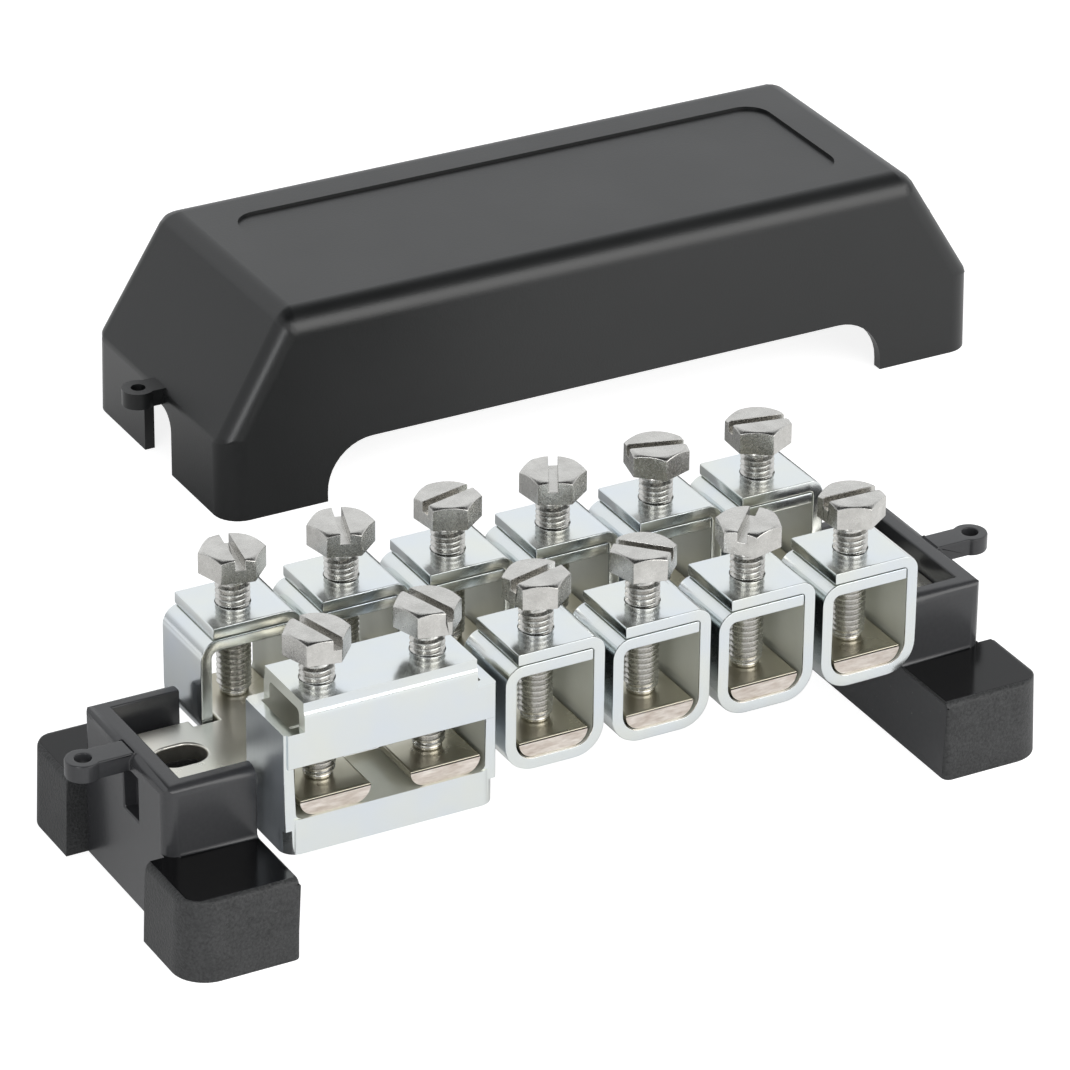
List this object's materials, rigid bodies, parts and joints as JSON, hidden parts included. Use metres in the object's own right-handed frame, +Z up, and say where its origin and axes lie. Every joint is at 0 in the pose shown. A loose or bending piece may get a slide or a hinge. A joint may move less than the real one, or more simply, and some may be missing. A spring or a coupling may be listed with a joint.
{
  "type": "earth terminal bar",
  "caption": "Earth terminal bar with two rows of screw clamps on a comb-shaped contact bar, a wide strip clamp, two moulded feet and a lift-off hood.",
  "frame": {"origin": "middle of the base on the plane its feet stand on, midway between the fixing slots", "axes": "+X along the contact bar towards the foot away from the wide clamp, +Y from the front row to the rear row, +Z up from the mounting surface"},
  "size_m": [0.2486, 0.1971, 0.0502],
  "materials": {
    "cover": "satin black moulding",
    "foot": "fine textured black moulding, smooth on the pad tops",
    "bar": "tinned copper with bare cut ends",
    "clamp": "bright zinc plated steel",
    "screw": "plain plated steel, slightly rough head"
  },
  "bodies": {
    "base": {"contact_bar": "bar", "left_foot": "foot", "right_foot": "foot", "clamp_rear_1": "clamp", "clamp_rear_2": "clamp", "clamp_rear_3": "clamp", "clamp_rear_4": "clamp", "clamp_rear_5": "clamp", "clamp_rear_6": "clamp", "double_clamp": "clamp", "clamp_front_3": "clamp", "clamp_front_4": "clamp", "clamp_front_5": "clamp", "clamp_front_6": "clamp"},
    "cover": {"cover": "cover"},
    "screw_rear_1": {"screw_rear_1": "screw"},
    "screw_rear_2": {"screw_rear_2": "screw"},
    "screw_rear_3": {"screw_rear_3": "screw"},
    "screw_rear_4": {"screw_rear_4": "screw"},
    "screw_rear_5": {"screw_rear_5": "screw"},
    "screw_rear_6": {"screw_rear_6": "screw"},
    "screw_front_1": {"screw_front_1": "screw"},
    "screw_front_2": {"screw_front_2": "screw"},
    "screw_front_3": {"screw_front_3": "screw"},
    "screw_front_4": {"screw_front_4": "screw"},
    "screw_front_5": {"screw_front_5": "screw"},
    "screw_front_6": {"screw_front_6": "screw"}
  },
  "joints": [
    {"name": "screw_rear_1_travel", "type": "slide", "parent": "base", "child": "screw_rear_1", "axis": [0, 0, 1], "range_m": [0, 0.0124]},
    {"name": "screw_rear_2_travel", "type": "slide", "parent": "base", "child": "screw_rear_2", "axis": [0, 0, 1], "range_m": [0, 0.0124]},
    {"name": "screw_rear_3_travel", "type": "slide", "parent": "base", "child": "screw_rear_3", "axis": [0, 0, 1], "range_m": [0, 0.0124]},
    {"name": "screw_rear_4_travel", "type": "slide", "parent": "base", "child": "screw_rear_4", "axis": [0, 0, 1], "range_m": [0, 0.0124]},
    {"name": "screw_rear_5_travel", "type": "slide", "parent": "base", "child": "screw_rear_5", "axis": [0, 0, 1], "range_m": [0, 0.0124]},
    {"name": "screw_rear_6_travel", "type": "slide", "parent": "base", "child": "screw_rear_6", "axis": [0, 0, 1], "range_m": [0, 0.0124]},
    {"name": "screw_front_1_travel", "type": "slide", "parent": "base", "child": "screw_front_1", "axis": [0, 0, 1], "range_m": [0, 0.0124]},
    {"name": "screw_front_2_travel", "type": "slide", "parent": "base", "child": "screw_front_2", "axis": [0, 0, 1], "range_m": [0, 0.0124]},
    {"name": "screw_front_3_travel", "type": "slide", "parent": "base", "child": "screw_front_3", "axis": [0, 0, 1], "range_m": [0, 0.0124]},
    {"name": "screw_front_4_travel", "type": "slide", "parent": "base", "child": "screw_front_4", "axis": [0, 0, 1], "range_m": [0, 0.0124]},
    {"name": "screw_front_5_travel", "type": "slide", "parent": "base", "child": "screw_front_5", "axis": [0, 0, 1], "range_m": [0, 0.0124]},
    {"name": "screw_front_6_travel", "type": "slide", "parent": "base", "child": "screw_front_6", "axis": [0, 0, 1], "range_m": [0, 0.0124]},
    {"name": "cover_lift", "type": "slide", "parent": "base", "child": "cover", "axis": [0, 0, 1], "range_m": [0, 0.1]}
  ]
}
